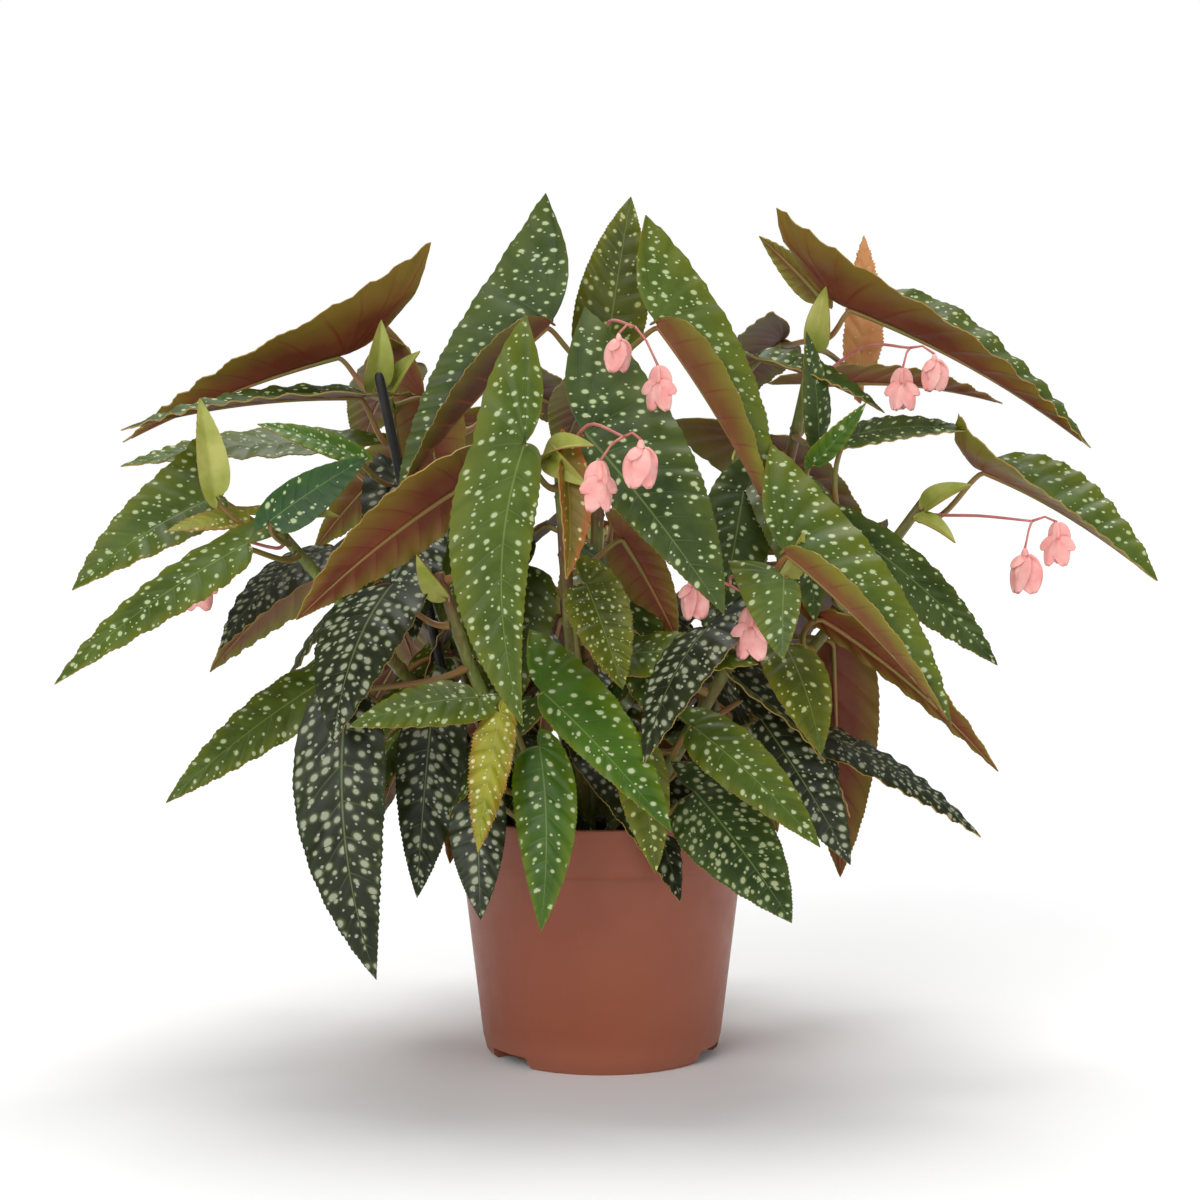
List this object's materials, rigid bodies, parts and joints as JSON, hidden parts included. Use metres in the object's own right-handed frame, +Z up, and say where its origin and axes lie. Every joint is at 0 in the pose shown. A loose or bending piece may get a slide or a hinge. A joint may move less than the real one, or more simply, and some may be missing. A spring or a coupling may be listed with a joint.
{
  "type": "potted begonia",
  "caption": "Angel-wing begonia with spotted wing-shaped leaves, maroon backs and hanging pink flowers, growing on canes in a terracotta-coloured plastic nursery pot.",
  "frame": {"origin": "centre of the flat underside of the pot, where it meets what it stands on", "axes": "+Z up along the pot axis; +X to the right seen from the front, along the widest spread of the leaves; -Y towards the viewer of the front"},
  "size_m": [0.556, 0.3846, 0.4577],
  "materials": {
    "terracotta_plastic": "satin moulded plastic with fine scuffs",
    "potting_mix": "loose moist bark and peat crumbs",
    "black_plastic": "smooth",
    "cane_green": "smooth, slightly waxy",
    "leaf_dark": "satin, silver-white spots, maroon back",
    "leaf_green": "satin, silver-white spots, maroon back",
    "leaf_bright": "satin, silver-white spots, green back",
    "leaf_bronze": "satin, pale spots, copper back",
    "leaf_red_back": "satin, silver-white spots, red-brown back",
    "petal_pink": "soft, waxy petals"
  },
  "bodies": {
    "root": {"pot": "terracotta_plastic", "potting_mix": "potting_mix", "support_stake": "black_plastic", "cane_centre": "cane_green", "cane_left": "cane_green", "cane_right": "cane_green", "cane_front": "cane_green", "cane_back": "cane_green", "leaf_top_left": "leaf_red_back", "leaf_left_flat": "leaf_dark", "leaf_left_shade": "leaf_green", "leaf_left_tall": "leaf_dark", "leaf_upright": "leaf_bronze", "leaf_right_curl": "leaf_green", "leaf_top_right": "leaf_red_back", "leaf_right_shade": "leaf_red_back", "leaf_right_fold": "leaf_dark", "leaf_right_level": "leaf_dark", "leaf_left_mid": "leaf_green", "leaf_left_long": "leaf_green", "leaf_red_back": "leaf_red_back", "leaf_right_wing": "leaf_bright", "leaf_right_behind": "leaf_dark", "leaf_front_long": "leaf_green", "leaf_centre": "leaf_dark", "leaf_right_front": "leaf_green", "leaf_small_front": "leaf_green", "leaf_bright_front": "leaf_bright", "leaf_hang_front": "leaf_bright", "leaf_dark_inner": "leaf_green", "leaf_green_side": "leaf_green", "leaf_skirt_left": "leaf_green", "leaf_dark_left": "leaf_dark", "leaf_dark_shoulder": "leaf_dark", "leaf_hang_left": "leaf_dark", "leaf_hang_inner": "leaf_dark", "leaf_skirt_low": "leaf_dark", "leaf_skirt_spotted": "leaf_dark", "leaf_skirt_green": "leaf_green", "leaf_skirt_dark": "leaf_dark", "leaf_skirt_right": "leaf_dark", "leaf_skirt_olive": "leaf_bronze", "leaf_purple_right": "leaf_red_back", "leaf_red_hanging": "leaf_red_back", "leaf_back_tall_left": "leaf_green", "leaf_back_tall_right": "leaf_dark", "leaf_back_centre": "leaf_green", "leaf_back_crown": "leaf_dark", "leaf_back_low_left": "leaf_dark", "leaf_back_low_right": "leaf_dark", "leaf_back_skirt": "leaf_green", "leaf_back_wing_left": "leaf_green", "leaf_back_wing_right": "leaf_bronze", "flowers_centre": "petal_pink", "flowers_upper": "petal_pink", "flowers_right_high": "petal_pink", "flowers_right_low": "petal_pink", "flowers_left_low": "petal_pink", "flowers_front_right": "petal_pink", "flowers_back": "petal_pink"}
  },
  "joints": []
}
